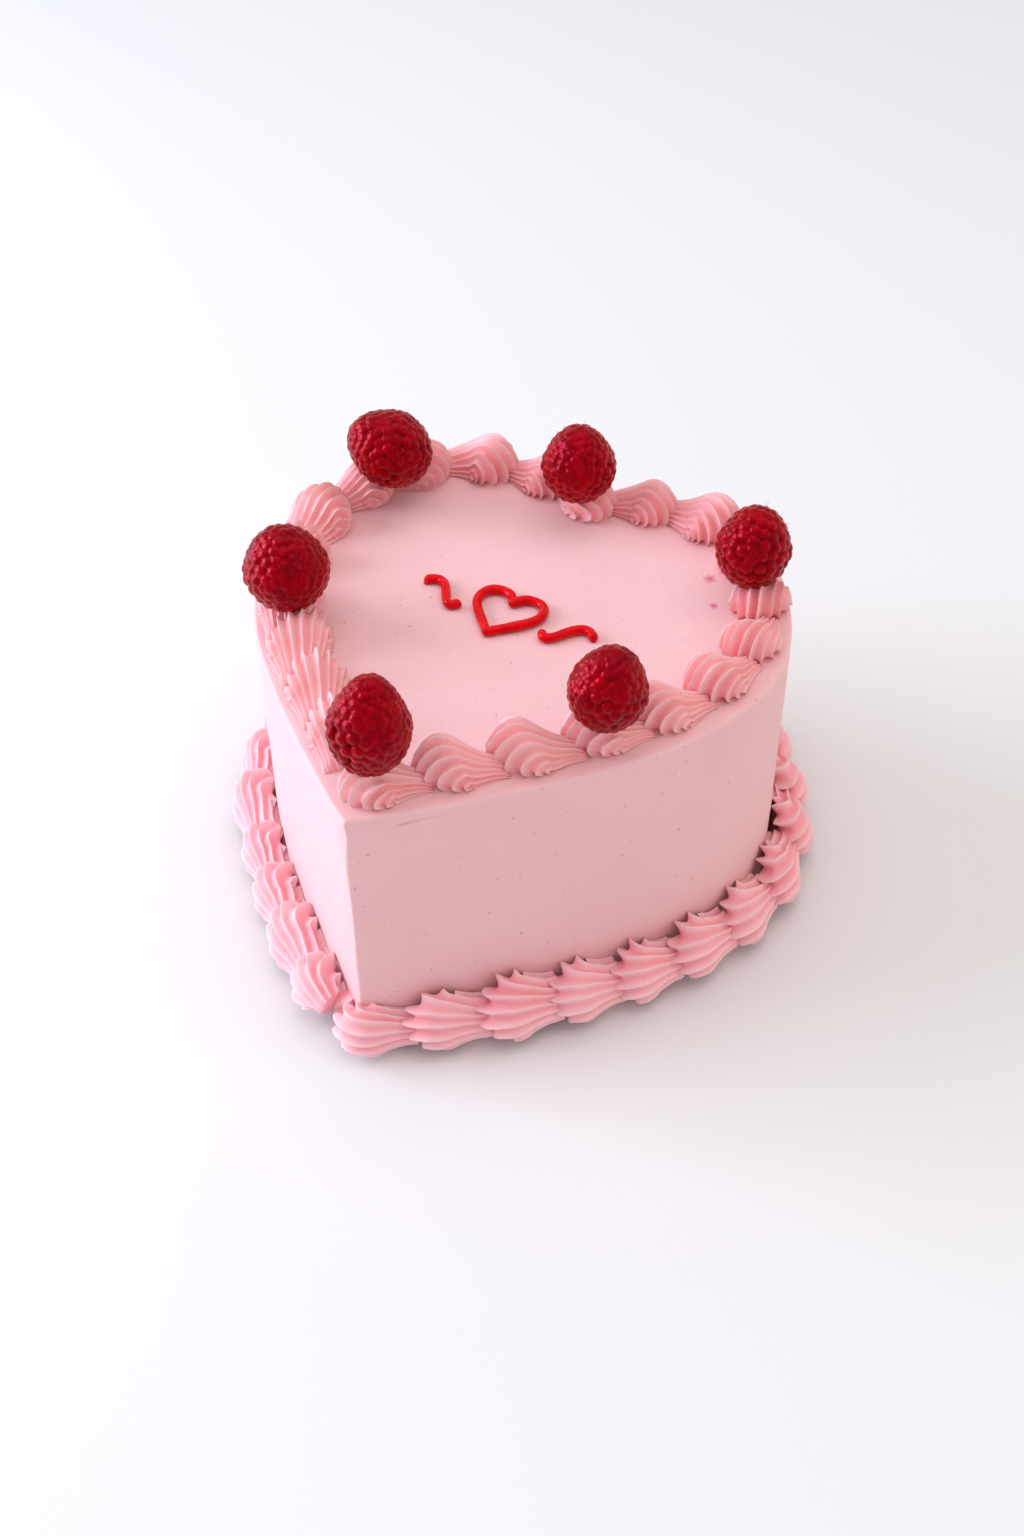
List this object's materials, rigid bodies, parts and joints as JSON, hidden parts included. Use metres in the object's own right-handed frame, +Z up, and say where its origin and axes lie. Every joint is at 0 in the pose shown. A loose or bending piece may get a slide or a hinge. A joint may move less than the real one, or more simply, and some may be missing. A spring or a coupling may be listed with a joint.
{
  "type": "heart shaped cake",
  "caption": "Heart shaped layer cake with smooth pink icing, piped shell borders round the top edge and the foot, raspberries on the border and a small red gel ornament.",
  "frame": {"origin": "middle of the heart's length on its line of symmetry, on the plane that the cake stands on", "axes": "+Z up, -Y towards the heart's tip, +X to the right when the tip points at the viewer"},
  "size_m": [0.1803, 0.182, 0.1217],
  "materials": {
    "smooth_icing": "smooth pale pink buttercream, soft satin",
    "top_piping": "piped pink buttercream, soft satin",
    "base_piping": "piped deeper pink buttercream, soft satin",
    "raspberry_flesh": "fresh raspberry, moist and glossy",
    "red_gel": "piped red gel, wet gloss"
  },
  "bodies": {
    "root": {"cake": "smooth_icing", "top_shell_01": "top_piping", "top_shell_02": "top_piping", "top_shell_03": "top_piping", "top_shell_04": "top_piping", "top_shell_05": "top_piping", "top_shell_06": "top_piping", "top_shell_07": "top_piping", "top_shell_08": "top_piping", "top_shell_09": "top_piping", "top_shell_10": "top_piping", "top_shell_11": "top_piping", "top_shell_12": "top_piping", "top_shell_13": "top_piping", "top_shell_14": "top_piping", "top_shell_15": "top_piping", "top_shell_16": "top_piping", "top_shell_17": "top_piping", "top_shell_18": "top_piping", "top_shell_19": "top_piping", "top_shell_20": "top_piping", "top_shell_21": "top_piping", "top_shell_22": "top_piping", "base_shell_01": "base_piping", "base_shell_02": "base_piping", "base_shell_03": "base_piping", "base_shell_04": "base_piping", "base_shell_05": "base_piping", "base_shell_06": "base_piping", "base_shell_07": "base_piping", "base_shell_08": "base_piping", "base_shell_09": "base_piping", "base_shell_10": "base_piping", "base_shell_11": "base_piping", "base_shell_12": "base_piping", "base_shell_13": "base_piping", "base_shell_14": "base_piping", "base_shell_15": "base_piping", "base_shell_16": "base_piping", "base_shell_17": "base_piping", "base_shell_18": "base_piping", "base_shell_19": "base_piping", "base_shell_20": "base_piping", "base_shell_21": "base_piping", "base_shell_22": "base_piping", "base_shell_23": "base_piping", "base_shell_24": "base_piping", "base_shell_25": "base_piping", "base_shell_26": "base_piping", "base_shell_27": "base_piping", "raspberry_tip": "raspberry_flesh", "raspberry_right_side": "raspberry_flesh", "raspberry_right_lobe": "raspberry_flesh", "raspberry_notch": "raspberry_flesh", "raspberry_left_lobe": "raspberry_flesh", "raspberry_left_side": "raspberry_flesh", "gel_heart": "red_gel", "gel_flourish_left": "red_gel", "gel_flourish_right": "red_gel"}
  },
  "joints": []
}
